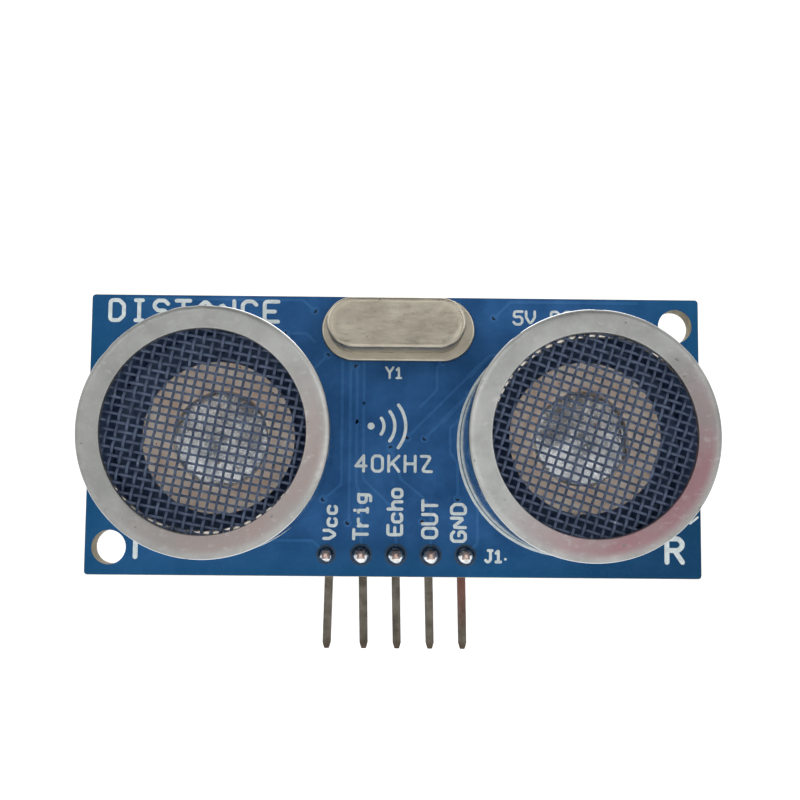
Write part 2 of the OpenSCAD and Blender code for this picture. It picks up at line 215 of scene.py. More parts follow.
def sweep(bm, place, path, section, widths=None, loop=False):
    """Carries a section along a path in the local XY plane. Its points are across the path and along Z."""
    rings = []
    count = len(path)
    for i in range(count):
        here = Vector(path[i])
        back = here - Vector(path[i - 1]) if i or loop else Vector(path[1]) - here
        ahead = Vector(path[(i + 1) % count]) - here if i < count - 1 or loop else back
        along = (back.normalized() + ahead.normalized()).normalized()
        mitre = 1 / max(along.dot(back.normalized()), 0.5)
        wide = mitre * (widths[i] if widths else 1)
        rings.append([(here.x - along.y * across * wide, here.y + along.x * across * wide, up)
                      for across, up in section])
    return skin(bm, place, rings, loop=loop)


def piece(name, bm, finish, node=None, crease=35):
    """Makes a mesh a piece with its finish as its material. It may stand for a CAD node, which it then hides.
    """
    bmesh.ops.recalc_face_normals(bm, faces=bm.faces)
    mesh = bpy.data.meshes.new(name)
    bm.to_mesh(mesh)
    bm.free()
    mesh.polygons.foreach_set("use_smooth", [True] * len(mesh.polygons))
    mesh.set_sharp_from_angle(angle=math.radians(crease))
    mesh.materials.append(MATERIALS[finish])
    made = bpy.data.objects.new(name, mesh)
    bpy.context.collection.objects.link(made)
    normals = made.modifiers.new("even_normals", "WEIGHTED_NORMAL")
    normals.keep_sharp = True
    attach(made, BODY)
    if node:
        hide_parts(node)
    return made


def dress(finish, node):
    """Gives a CAD node that stays on show its material."""
    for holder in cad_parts[node].material_slots:
        holder.material = MATERIALS[finish]


# ---------- materials

class Surface:
    """A procedural material: two mixed colours, grain in its roughness and relief in its bump."""

    def __init__(self, name, dark, light, rough, metallic=0.0, specular=0.5, patch=0.6, grain=8.0,
                 relief=0.003, stretch=(1, 1, 1)):
        self.material = bpy.data.materials.new(name)
        self.material.use_nodes = True
        self.tree = self.material.node_tree
        self.shader = self.tree.nodes["Principled BSDF"]
        self.shader.inputs["Metallic"].default_value = metallic
        self.shader.inputs["Specular IOR Level"].default_value = specular
        whole = self.add("TexCoord").outputs["Object"]
        self.place = self.add("Mapping", {"Vector": whole, "Scale": (1 / MM, 1 / MM, 1 / MM)}).outputs[0]
        patches = self.noise(patch, 3)
        self.grain = self.noise(grain, 3, stretch)
        self.colour = self.blend(self.ramp(patches, 0.35, 0.65), dark, light)
        self.rough = self.ramp(self.grain, 0.3, 0.7, *rough)
        self.height = self.grain
        self.relief = relief

    def add(self, kind, inputs=None, **settings):
        """Adds a node. Inputs are values or the outputs of other nodes, by socket name or number."""
        made = self.tree.nodes.new("ShaderNode" + kind)
        for key, value in settings.items():
            setattr(made, key, value)
        for key, value in (inputs or {}).items():
            if isinstance(value, bpy.types.NodeSocket):
                self.tree.links.new(value, made.inputs[key])
            else:
                made.inputs[key].default_value = value
        return made

    def noise(self, scale, detail=2, stretch=(1, 1, 1)):
        """Noise of about scale features in a millimetre."""
        spot = self.add("Mapping", {"Vector": self.place, "Scale": stretch}).outputs[0]
        made = self.add("TexNoise", {"Vector": spot, "Scale": scale, "Detail": detail, "Roughness": 0.6})
        return made.outputs["Fac"]

    def ramp(self, value, low, high, to_low=0.0, to_high=1.0):
        made = self.add("MapRange", {0: value, 1: low, 2: high, 3: to_low, 4: to_high})
        return made.outputs[0]

    def math(self, operation, first, second=0.0):
        return self.add("Math", {0: first, 1: second}, operation=operation).outputs[0]

    def blend(self, factor, first, second):
        first, second = [value if isinstance(value, bpy.types.NodeSocket) else (*value, 1)
                         for value in (first, second)]
        return self.add("Mix", {0: factor, 6: first, 7: second}, data_type="RGBA").outputs[2]

    def axis(self, name):
        """The X, Y or Z coordinate in millimetres."""
        return self.add("SeparateXYZ", {0: self.place}).outputs[name]

    def away(self, x, z):
        """Distance from a line through x, z that runs from front to back."""
        flat = self.add("VectorMath", {0: self.place, 1: (1, 0, 1)}, operation="MULTIPLY").outputs[0]
        made = self.add("VectorMath", {0: flat, 1: (x, 0, z)}, operation="DISTANCE")
        return made.outputs["Value"]

    def tint(self, mask, colour):
        self.colour = self.blend(mask, self.colour, colour)
        return self

    def done(self):
        """Links the finished colour, roughness and bump, and returns the material."""
        bump = self.add("Bump", {"Height": self.height, "Strength": 1.0, "Distance": self.relief * MM})
        for socket, value in (("Base Color", self.colour), ("Roughness", self.rough),
                              ("Normal", bump.outputs[0])):
            self.tree.links.new(value, self.shader.inputs[socket])
        return self.material


def worn(surface, colour):
    """Shows another colour along worn outer edges."""
    edge = surface.add("NewGeometry").outputs["Pointiness"]
    rubbed = surface.math("MULTIPLY", surface.ramp(edge, 0.5, 0.56), surface.noise(6.0, 3))
    return surface.tint(surface.ramp(rubbed, 0.0, 0.5), colour)


def specks(surface, colour, scale, rarity):
    """Small scattered marks."""
    return surface.tint(surface.ramp(surface.noise(scale), rarity, rarity + 0.04), colour)


def mask_surface(name, dark, light, edge_colour):
    """Glossy solder mask, greener towards the sides and the bottom edge, with a painted shadow that darkens
    it at the lower right.
    """
    made = Surface(name, dark, light, (0.2, 0.32), specular=0.07, patch=0.3, grain=1.6, relief=0.006)
    across = made.ramp(made.math("ABSOLUTE", made.axis("X")), 13, 23)
    upright = made.ramp(made.axis("Z"), -7.0, -10.6)
    rim = made.math("MAXIMUM", across, upright)
    made.tint(made.math("MULTIPLY", rim, 0.8), edge_colour)
    # Painted shadow: a broad darkening towards the lower right corner of the board
    corner = made.ramp(made.math("SUBTRACT", made.axis("X"), made.axis("Z")), 18, 28, 0, 0.5)
    made.tint(corner, (0.0, 0.02, 0.05))
    specks(made, (0.12, 0.2, 0.3), 2.2, 0.74)
    return made.done()


def can_surface(name, x, z, reflection_colour, reflection_angle, share, brighter):
    """Satin aluminium with turning marks, a painted pink reflection on its face, and painted light that makes
    it brighter at its right (1) or its left (-1).
    """
    made = Surface(name, (0.27, 0.275, 0.265), (0.35, 0.355, 0.345), (0.38, 0.54), metallic=1.0,
                   patch=0.45, grain=5.0, relief=0.005)
    # Painted reflection: a blotchy pink tint over the face, stronger towards one side
    angle = math.radians(reflection_angle)
    lean = made.add("VectorMath", {0: made.place, 1: (math.cos(angle), 0, math.sin(angle))},
                    operation="DOT_PRODUCT").outputs["Value"]
    start = x * math.cos(angle) + z * math.sin(angle)
    side = made.ramp(made.math("SUBTRACT", lean, start), -0.5, 6.0)
    inner = made.ramp(made.away(x, z), 7.9, 7.3)
    cloud = made.ramp(made.noise(0.45), 0.1, 0.55, 0.3, share)
    made.tint(made.math("MULTIPLY", made.math("MULTIPLY", side, inner), cloud), reflection_colour)
    turning = made.add("TexNoise", {"Scale": 9.0, "Detail": 2.0, "W": made.away(x, z)},
                       noise_dimensions="1D").outputs["Fac"]
    scratch = made.noise(0.9, 4, (1.5, 1, 2.5))
    made.height = made.math("ADD", made.math("MULTIPLY", turning, 0.3), made.grain)
    made.tint(made.ramp(scratch, 0.56, 0.7, 0, 0.4), (0.44, 0.44, 0.43))
    specks(made, (0.19, 0.185, 0.18), 1.6, 0.71)
    # Painted light: the face's colour brightens steadily towards one side
    painted_side_light = made.ramp(made.axis("X"), x - 8 * brighter, x + 8 * brighter, 0.82, 1.19)
    made.colour = made.add("Mix", {0: 1.0, 6: made.colour, 7: painted_side_light}, data_type="RGBA",
                           blend_type="MULTIPLY").outputs[2]
    return made.done()


def can_side_surface(name):
    """Drawn wall of a can, smooth enough to mirror the board at its foot."""
    made = Surface(name, (0.42, 0.43, 0.44), (0.56, 0.57, 0.57), (0.04, 0.13), metallic=1.0,
                   patch=0.5, grain=2.0, relief=0.002, stretch=(1, 0.15, 1))
    specks(made, (0.2, 0.2, 0.21), 1.1, 0.7)
    return made.done()


def foil_surface():
    """Creased bright foil, with painted shade that darkens it towards its upper edge."""
    made = Surface("cone_bright_foil", (0.42, 0.45, 0.47), (0.93, 0.96, 0.98), (0.12, 0.3), metallic=0.85,
                   patch=0.8, grain=1.0, relief=0.12)
    drift = made.ramp(made.noise(0.7), 0.3, 0.7, -1.3, 1.3)
    # Painted shade: the foil's colour darkens towards its upper edge
    made.tint(made.ramp(made.math("ADD", made.axis("Z"), drift), -2.2, 2.2, 0.0, 0.75),
              (0.37, 0.34, 0.32))
    specks(made, (0.3, 0.22, 0.19), 1.4, 0.66)
    return made.done()


def painted_reflection_solder_surface():
    """Bright solder with a painted dark reflection on the upper part of each joint of the header."""
    made = Surface("painted_reflection_solder", (0.5, 0.51, 0.52), (0.8, 0.8, 0.79), (0.08, 0.2), metallic=1.0,
                   patch=2.5, grain=4, relief=0.02)
    drift = made.ramp(made.noise(2.0), 0.3, 0.7, -0.12, 0.12)
    height = made.math("ADD", made.axis("Z"), drift)
    # Painted reflection: the upper part of each bead is tinted dark blue, as if it mirrored a dark ceiling
    made.tint(made.ramp(height, PIN_Z - 0.16, PIN_Z - 0.02, 0.0, 0.9), (0.03, 0.055, 0.085))
    return made.done()


def pin_surface():
    """Aged pin metal, with darker arrises and tips, and a reddish top on the last pin."""
    made = Surface("aged_pin_metal", (0.075, 0.066, 0.052), (0.16, 0.145, 0.12), (0.3, 0.5), metallic=1.0,
                   patch=0.9, grain=4, relief=0.008, stretch=(1, 1, 0.25))
    last = made.ramp(made.axis("X"), PIN_XS[-1] - 0.6, PIN_XS[-1] - 0.5)
    upper = made.ramp(made.axis("Z"), -15.0, -11.5, 0.0, 0.75)
    made.tint(made.math("MULTIPLY", last, upper), (0.18, 0.075, 0.062))
    made.tint(made.ramp(made.axis("Z"), -15.4, -15.8, 0.0, 0.7), (0.07, 0.048, 0.034))
    edge = made.add("NewGeometry").outputs["Pointiness"]
    made.tint(made.ramp(edge, 0.52, 0.6, 0, 0.8), (0.05, 0.045, 0.035))
    return made.done()


MATERIALS = {
    "solder_mask": mask_surface("solder_mask_blue", (0.013, 0.066, 0.183), (0.026, 0.104, 0.27),
                                (0.002, 0.06, 0.146)),
    "raised_mask": mask_surface("mask_over_copper", (0.022, 0.093, 0.24), (0.038, 0.13, 0.31),
                                (0.004, 0.078, 0.175)),
    "epoxy": Surface("glass_epoxy", (0.17, 0.14, 0.08), (0.3, 0.26, 0.16), (0.55, 0.8), patch=1.5, grain=9,
                     relief=0.01, stretch=(1, 7, 1)).done(),
    "ink": specks(Surface("screen_print_ink", (0.46, 0.52, 0.53), (0.6, 0.66, 0.66), (0.45, 0.7),
                          specular=0.3, patch=2.0, grain=7, relief=0.004), (0.2, 0.3, 0.42), 5.0, 0.7).done(),
    # Near-black fill for the via holes: painted shade
    "hole_dark": Surface("painted_hole_shade", (0.002, 0.004, 0.008), (0.006, 0.01, 0.016), (0.4, 0.7), specular=0.2,
                         patch=5, grain=12).done(),
    "can_inside": Surface("can_inside_navy", (0.12, 0.19, 0.36), (0.17, 0.26, 0.45), (0.5, 0.7),
                          specular=0.2, patch=0.7, grain=4).done(),
    "base_plastic": Surface("navy_base_plastic", (0.17, 0.26, 0.44), (0.26, 0.36, 0.55), (0.5, 0.7),
                            specular=0.2, patch=0.9, grain=6).done(),
    "screen_wire": specks(Surface("painted_wire", (0.027, 0.041, 0.074), (0.062, 0.085, 0.14), (0.45, 0.6),
                                  specular=0.25, patch=1.1, grain=7),
                          (0.4, 0.42, 0.45), 2.2, 0.75).done(),
    "ring_metal": Surface("bright_ring", (0.55, 0.52, 0.47), (0.75, 0.72, 0.67), (0.2, 0.35), metallic=1.0,
                          patch=1.0, grain=6).done(),
    "cone_foil": specks(Surface("cone_lacquer", (0.84, 0.65, 0.52), (0.98, 0.9, 0.8), (0.35, 0.55),
                                metallic=0.05, patch=0.9, grain=3, relief=0.015),
                        (0.3, 0.18, 0.13), 1.6, 0.7).done(),
    "cone_middle": foil_surface(),
    "vibrator_brass": Surface("brass_plate", (0.55, 0.42, 0.17), (0.7, 0.56, 0.26), (0.3, 0.45), metallic=1.0,
                              grain=5, stretch=(1, 1, 5)).done(),
    "piezo_ceramic": Surface("piezo_ceramic", (0.55, 0.5, 0.38), (0.66, 0.62, 0.5), (0.55, 0.75),
                             grain=10).done(),
    "silicone": Surface("silicone_ring", (0.5, 0.5, 0.47), (0.62, 0.62, 0.6), (0.5, 0.65), grain=4).done(),
    "black_plastic": worn(Surface("moulded_black_plastic", (0.008, 0.008, 0.01), (0.02, 0.02, 0.023),
                                  (0.38, 0.55), patch=1.0, grain=9, relief=0.008),
                          (0.06, 0.06, 0.065)).done(),
    "tinned_metal": Surface("tinned_lead", (0.5, 0.49, 0.46), (0.66, 0.65, 0.62), (0.25, 0.42), metallic=1.0,
                            patch=1.5, grain=6, relief=0.006).done(),
    "copper_wire": Surface("copper_wire", (0.6, 0.26, 0.12), (0.75, 0.38, 0.2), (0.25, 0.4),
                           metallic=1.0).done(),
    "nickel_shell": specks(Surface("nickel_shell", (0.375, 0.34, 0.275), (0.475, 0.44, 0.36), (0.26, 0.42),
                                   metallic=1.0, patch=0.5, grain=2.5, relief=0.012, stretch=(0.5, 1, 1.6)),
                           (0.29, 0.255, 0.2), 1.1, 0.72).done(),
    "seal_glass": Surface("seal_glass", (0.03, 0.09, 0.07), (0.06, 0.14, 0.11), (0.1, 0.2), grain=3).done(),
    "spring_metal": Surface("spring_metal", (0.5, 0.46, 0.36), (0.6, 0.56, 0.45), (0.3, 0.4),
                            metallic=1.0).done(),
    "quartz": Surface("quartz_silvered", (0.6, 0.62, 0.64), (0.75, 0.77, 0.79), (0.08, 0.15), grain=3).done(),
    "solder": Surface("solder_alloy", (0.42, 0.44, 0.47), (0.66, 0.67, 0.68), (0.05, 0.16), metallic=1.0,
                      patch=2.5, grain=4, relief=0.02).done(),
    "flux": Surface("flux_residue", (0.006, 0.028, 0.06), (0.014, 0.045, 0.09), (0.15, 0.3), specular=0.3,
                    patch=1.5, grain=3, relief=0.01).done(),
    "pin_end": specks(Surface("cut_pin_end", (0.5, 0.34, 0.28), (0.7, 0.52, 0.44), (0.3, 0.5), metallic=0.8,
                              patch=2, grain=5), (0.2, 0.14, 0.12), 4.0, 0.66).done(),
    "painted_reflection_solder": painted_reflection_solder_surface(),
    "pin_metal": pin_surface(),
    "chip_plastic": worn(Surface("chip_epoxy", (0.012, 0.012, 0.013), (0.024, 0.024, 0.025), (0.5, 0.7),
                                 patch=0.8, grain=11, relief=0.008), (0.05, 0.05, 0.05)).done(),
    "alumina": Surface("alumina", (0.6, 0.6, 0.57), (0.7, 0.7, 0.68), (0.45, 0.6), grain=9).done(),
    "resistor_face": Surface("resistor_glaze", (0.008, 0.008, 0.012), (0.018, 0.018, 0.024), (0.15, 0.3),
                             patch=2, grain=6).done(),
    "capacitor_ceramic": Surface("capacitor_ceramic", (0.28, 0.19, 0.1), (0.38, 0.27, 0.16), (0.35, 0.5),
                                 patch=2, grain=8).done(),
}


# ---------- camera and light

def camera():
    """Camera straight in front of the board's middle and a little below it, looking slightly up."""
    lens = bpy.data.cameras.new("camera")
    lens.lens = 50.8
    lens.sensor_width = 36
    lens.clip_start = 0.002
    eye = bpy.data.objects.new("camera", lens)
    eye.location = Vector((-0.46, -82.95, -4.45)) * MM
    eye.rotation_euler = [math.radians(angle) for angle in (94.88, -0.49, -0.61)]
    bpy.context.collection.objects.link(eye)
    bpy.context.scene.camera = eye


def soft_light(name, place, size, power):
    """A square lamp that points at the origin and isn't seen itself."""
    lamp = bpy.data.lights.new(name, "AREA")
    lamp.size = size * MM
    lamp.energy = power
    holder = bpy.data.objects.new(name, lamp)
    holder.location = Vector(place) * MM
    holder.visible_camera = False
    holder.rotation_euler = (-holder.location).to_track_quat("-Z", "Y").to_euler()
    bpy.context.collection.objects.link(holder)


def surroundings():
    """White all round, apart from a darker ceiling above and in front."""
    world = bpy.data.worlds.new("studio")
    world.use_nodes = True
    tree = world.node_tree
    spot = tree.nodes.new("ShaderNodeTexCoord")
    toward = tree.nodes.new("ShaderNodeVectorMath")
    toward.operation = "DOT_PRODUCT"
    toward.inputs[1].default_value = Vector((0.0, -0.64, 0.77))
    shade = tree.nodes.new("ShaderNodeMapRange")
    for socket, value in (("From Min", 0.45), ("From Max", 0.95), ("To Min", 1.2), ("To Max", 0.15)):
        shade.inputs[socket].default_value = value
    tree.links.new(spot.outputs["Generated"], toward.inputs[0])
    tree.links.new(toward.outputs["Value"], shade.inputs["Value"])
    tree.links.new(shade.outputs[0], tree.nodes["Background"].inputs["Strength"])
    tree.nodes["Background"].inputs["Color"].default_value = (1, 1, 1, 1)
    bpy.context.scene.world = world
    bpy.context.scene.view_settings.view_transform = "Standard"


FLOOR_DROP = 60


def floor():
    """Pale floor, well below the sensor, which stands in the air like a cut-out picture."""
    bm = bmesh.new()
    bmesh.ops.create_grid(bm, x_segments=8, y_segments=8, size=3000 * MM)
    mesh = bpy.data.meshes.new("floor")
    bm.to_mesh(mesh)
    bm.free()
    ground = bpy.data.objects.new("floor", mesh)
    ground.location.z = -FLOOR_DROP * MM
    pale = Surface("pale_floor", (0.93, 0.93, 0.93), (0.96, 0.96, 0.96), (0.7, 0.9), specular=0.1,
                   patch=0.01, grain=0.1)
    pale.shader.inputs["Emission Color"].default_value = (1, 1, 1, 1)
    pale.shader.inputs["Emission Strength"].default_value = 0.3
    mesh.materials.append(pale.done())
    bpy.context.collection.objects.link(ground)


camera()
surroundings()
floor()
soft_light("key_light", (-190, -330, 220), 300, 0.45)
soft_light("fill_light", (230, -300, 160), 300, 0.38)
soft_light("low_left_light", (-200, -330, -150), 240, 0.22)
soft_light("low_right_light", (150, -360, -170), 200, 0.36)
soft_light("back_light", (60, 320, 260), 260, 0.4)


# ---------- board

CHIPS = (("controller", 14), ("amplifier", 14), ("driver", 16))
LEAD_PITCH = 1.27
PART_STEP = 2.4


def pairs(text):
    """Reads points that are written as pairs of numbers."""
    return [tuple(float(number) for number in pair.split(",")) for pair in text.split()]


def row(count, x, z, turn=0):
    """Places of small parts in a row to the right of x, z, each turned by so many degrees."""
    return [(x + PART_STEP * i, z, turn) for i in range(count)]


RESISTORS = (row(5, -9.6, -5.9) + row(3, -10.4, 8.7) + row(3, -18.6, -3.2, 90) + row(2, 16, -3.2, 90)
             + row(2, -18.6, 2.4, 90) + row(1, -17.4, 6.2))
CAPACITORS = (row(4, 2.4, -5.9) + row(3, 5.6, 8.7) + row(1, 10.8, -2.6, 90) + row(1, 10.8, -0.2, 90)
              + row(1, 16, 1) + row(1, 18.6, 1) + row(1, -10.9, 0.6, 90))
MASK_T = 0.03
MASK_SETBACK = 0.03
PIN_HOLE_R = 0.5
LEAD_HOLE_R = 0.35
VIA_R = 0.15
VIAS = pairs("-6,9.2 7.3,8.8 -5,5.9 -2.9,5.1 3.45,5.5 5.5,3.1 2.2,-0.2 0.95,-0.1 -0.3,-0.9 -3.4,-6.4 "
             "-5.2,-4.7 4.65,-4.6 -8.1,7.5 2.06,-6.3")


def lead_holes():
    """Round holes for the pins, the crystal's leads and the transducers' terminals."""
    holes = [circle(x, PIN_Z, PIN_HOLE_R, 24) for x in PIN_XS]
    holes += [circle(x, z, LEAD_HOLE_R, 20) for x, z in lead_pair("crystal_leads")[1]]
    for side in SIDES:
        holes += [circle(x, z, PIN_HOLE_R, 24) for x, z in lead_pair(side + "_terminals")[1]]
    return holes


def board():
    """Glass epoxy core with a layer of mask on each face, and vias."""
    outline = plate(BOARD_HIGH.x - BOARD_LOW.x, BOARD_HIGH.z - BOARD_LOW.z, 0.25)
    fixing = [circle(side * FIXING_X, side * FIXING_Z, FIXING_R, 64) for side in (-1, 1)]
    holes = fixing + lead_holes() + [circle(x, z, VIA_R, 12) for x, z in VIAS]
    upright = Matrix(((MM, 0, 0, 0), (0, 0, MM, 0), (0, MM, 0, 0), (0, 0, 0, 1)))
    bm = bmesh.new()
    pierced(bm, upright, outline, holes, MASK_T, BOARD_T - MASK_T, 0.02)
    piece("board_core", bm, "epoxy", "circuit_board")
    for name, low in (("front_mask", 0), ("back_mask", BOARD_T - MASK_T)):
        bm = bmesh.new()
        pierced(bm, upright, lambda inset=0.0: outline(inset + MASK_SETBACK), holes, low, low + MASK_T, 0.01)
        piece(name, bm, "solder_mask")
    bm = bmesh.new()
    # The via plugs are near-black: painted shade standing in for the dark inside of each via hole
    plug = [(VIA_R - 0.01, MASK_T), (VIA_R - 0.01, BOARD_T - MASK_T)]
    for x, z in VIAS:
        lathe(bm, upright @ Matrix.Translation((x, z, 0)), plug, 12, loop=False)
    piece("via_plugs", bm, "hole_dark")
    for name, where in (("front_via_rings", facing), ("back_via_rings", behind)):
        bm = bmesh.new()
        for x, z in VIAS:
            rim = [(VIA_R, 0), (VIA_R + 0.02, 0.015), (VIA_R + 0.14, 0.015), (VIA_R + 0.17, 0)]
            lathe(bm, where(x, z), rim, 20)
        piece(name, bm, "raised_mask")


TRACE_SECTION = [(-0.5, -0.01), (-0.42, 0.018), (0.42, 0.018), (0.5, -0.01)]
# Paths of the copper lines, as pairs of X and Z
FRONT_TRACES = [
    "-3.9,6.2 -3.9,-3.6 -5.2,-4.7",
    "-3.3,6.6 -3.3,-6.4",
    "-2.8,5.1 -2.8,1 -2.8,-3.6 -2.4,-4.4 -2.39,-8.7",
    "-2.3,6 -2.3,2.4 -2.3,-3.2 -0.8,-4.6 0.15,-5.6 0.15,-8.7",
    "2.2,-0.2 3.4,1 5.9,3.5 7.5,5.1 9.5,5.1",
    "0.95,-0.1 2.6,1.6 5.4,4.4 7,6 9.5,6",
    "-0.3,-0.9 0.5,-3.2 2,-4.4 2.69,-5.2 2.69,-8.7",
    "4.65,-4.6 4.65,-2 4.1,-1.2 4.1,0.6 6.2,2.7 9.5,2.7",
    "3.45,5.5 3.1,5.1 3.1,3.4 1.8,2.1",
    "5.23,-8.7 6.1,-7.8 6.1,-4.2",
    "-4.93,-8.7 -5.9,-7.7 -9,-7.7",
    "-6,9.2 -6.9,10 -20,10",
    "7.3,8.8 8.5,10 18,10",
    "-5,5.9 -6.2,4.7 -9,4.7",
    "-8.1,7.5 -6.6,7.5 -5.9,6.8",
]
# The same for someone facing the back, with X to their right. The first two are wider supply lines
BACK_TRACES = [
    "-12.6,4.6 -12.6,8.2 -10.8,9.9 12,9.9",
    "-12.6,-5.4 -12.6,-8.4 -9,-9.9 12.5,-9.9",
    "-4.2,6.6 -3.4,5.6 -3.4,-3.4 -2.4,-4.6 -2.4,-7.3",
    "-3.9,7.6 -2.9,6.6 -2.9,-2.8 0,-5 0,-7.3",
    "3.2,6.4 3.9,5.6 3.9,-3.4 2.5,-4.6 2.5,-7.3",
    "3.9,7.2 4.5,6.4 4.5,-4 5.2,-5 5.2,-7.3",
    "-15,3.4 -13.6,3.4 -13,2.8 -13,-2",
    "-19,-4.6 -19,-6.2 -17.6,-7.4 -10.5,-7.4",
    "14,-4.6 14,-6.4 12.6,-7.6 8.4,-7.6",
    "16.2,-2 16.2,1.2 17.4,2.4 17.4,5.2",
    "20.2,-3.2 20.2,4.6 18.4,6.2",
    "10.2,9 11.6,7.4 11.6,2 12.4,1.2",
]


def traces(name, where, paths, wide=0):
    """Copper lines under the mask. The first ones are wider."""
    bm = bmesh.new()
    for i, path in enumerate(paths):
        width = 0.3 if i < wide else 0.25
        section = [(across * width, up) for across, up in TRACE_SECTION]
        sweep(bm, where(0, 0), soften(pairs(path), 0.3, 3, closed=False), section)
    piece(name, bm, "raised_mask")


# ---------- screen printing

# Strokes of each character on a grid of 4 by 6, as x,y pairs. Corners are rounded when they are drawn.
GLYPHS = {
    "A": ["0,0 0,4 2,6 4,4 4,0", "0,2 4,2"], "C": ["4,5 3,6 1,6 0,5 0,1 1,0 3,0 4,1"],
    "D": ["0,0 0,6 2.6,6 4,4.6 4,1.4 2.6,0 0,0"], "E": ["4,6 0,6 0,0 4,0", "0,3 3,3"],
    "G": ["4,5 3,6 1,6 0,5 0,1 1,0 3,0 4,1 4,2.8 2.4,2.8"], "H": ["0,0 0,6", "4,0 4,6", "0,3 4,3"],
    "I": ["1,0 3,0", "2,0 2,6", "1,6 3,6"], "J": ["1.6,6 3.6,6", "2.8,6 2.8,1 1.8,0 0.9,0 0.2,0.8"],
    "K": ["0,0 0,6", "4,6 0,2", "1.4,3.4 4,0"], "N": ["0,0 0,6 4,0 4,6"],
    "O": ["1,0 0,1 0,5 1,6 3,6 4,5 4,1 3,0 1,0"], "R": ["0,0 0,6", "0,6 3,6 4,5 4,4 3,3 0,3", "2,3 4,0"],
    "S": ["4,5 3,6 1,6 0,5 0,4 1,3 3,3 4,2 4,1 3,0 1,0 0,1"], "T": ["0,6 4,6", "2,6 2,0"],
    "U": ["0,6 0,1 1,0 3,0 4,1 4,6"], "V": ["0,6 0,3.4 2,0 4,3.4 4,6"], "Y": ["0,6 2,3 2,0", "4,6 2,3"],
    "Z": ["0,6 4,6 0,0 4,0"], "Q": ["1,0 0,1 0,5 1,6 3,6 4,5 4,1 3,0 1,0", "2.6,1.6 4.2,-0.4"],
    "0": ["1,0 0,1 0,5 1,6 3,6 4,5 4,1 3,0 1,0"], "1": ["0.8,4.6 2,6 2,0", "0.8,0 3.2,0"],
    "2": ["0,5 1,6 3,6 4,5 4,4 0,0 4,0"], "3": ["0,5 1,6 3,6 4,5 4,4 3,3 1.6,3", "3,3 4,2 4,1 3,0 1,0 0,1"],
    "4": ["3,0 3,6", "3,6 0,2", "0,2 4,2"], "5": ["4,6 0.4,6 0,3.4 3,3.6 4,2.6 4,1 3,0 1,0 0,1"],
    "c": ["3.6,3.4 3,4 1,4 0.2,3.2 0.2,0.8 1,0 3,0 3.6,0.6"], "g": [
        "3.8,4 1,4 0.2,3.2 0.2,1.4 1,0.6 3.6,0.6", "3.6,4 3.6,-0.6 2.9,-1.4 1,-1.4"],
    "h": ["0.4,0 0.4,6", "0.4,2.8 1.6,4 2.8,4 3.6,3.2 3.6,0"],
    "i": ["1.2,4 2,4 2,0", "1.2,0 2.8,0", "2,5.5 2,5.7"],
    "o": ["1,0 0.2,0.8 0.2,3.2 1,4 2.8,4 3.6,3.2 3.6,0.8 2.8,0 1,0"],
    "r": ["0.4,0 0.4,4", "0.4,2.6 1.8,4 3.4,4"],
}
INK_T = 0.025
CAP_STEPS = 4
WAVE_RADII = (0.95, 1.75, 2.55)
WAVE_SPREAD = 38


def stroke(bm, place, path, width, lift=0.0):
    """A printed line with round ends."""
    radius = width / 2
    path = [Vector(point) for point in path]
    loop = (path[0] - path[-1]).length < 1e-6
    section = [(-1.0, -0.005), (-0.93, 0.7 * INK_T + lift), (-0.6, INK_T + lift), (0.6, INK_T + lift),
               (0.93, 0.7 * INK_T + lift), (1.0, -0.005)]
    if loop:
        sweep(bm, place, path[:-1], [(across * radius, up) for across, up in section], loop=True)
        return
    start = (path[0] - path[1]).normalized() * radius
    end = (path[-1] - path[-2]).normalized() * radius
    turns = [math.pi / 2 * (i + 0.4) / CAP_STEPS for i in range(CAP_STEPS)]
    head = [path[0] + start * math.cos(turn) for turn in turns]
    tail = [path[-1] + end * math.cos(turn) for turn in reversed(turns)]
    ends = [math.sin(turn) for turn in turns]
    widths = ends + [1.0] * len(path) + ends[::-1]
    sweep(bm, place, head + path + tail, [(across * radius, up) for across, up in section], widths)


def write(bm, place, text, height, pitch, width):
    """Draws a line of characters from the local origin along local +X."""
    unit = (height - width) / 6
    for i, letter in enumerate(text):
        for k, drawn in enumerate(GLYPHS.get(letter, [])):
            points = [(x * unit + width / 2 + i * pitch, y * unit + width / 2) for x, y in pairs(drawn)]
            closed = points[0] == points[-1]
            if closed:
                points = soften(points[:-1], unit, 3)
                points.append(points[0])
            else:
                points = soften(points, unit, 3, closed=False)
            stroke(bm, place, points, width, lift=k * 0.002)


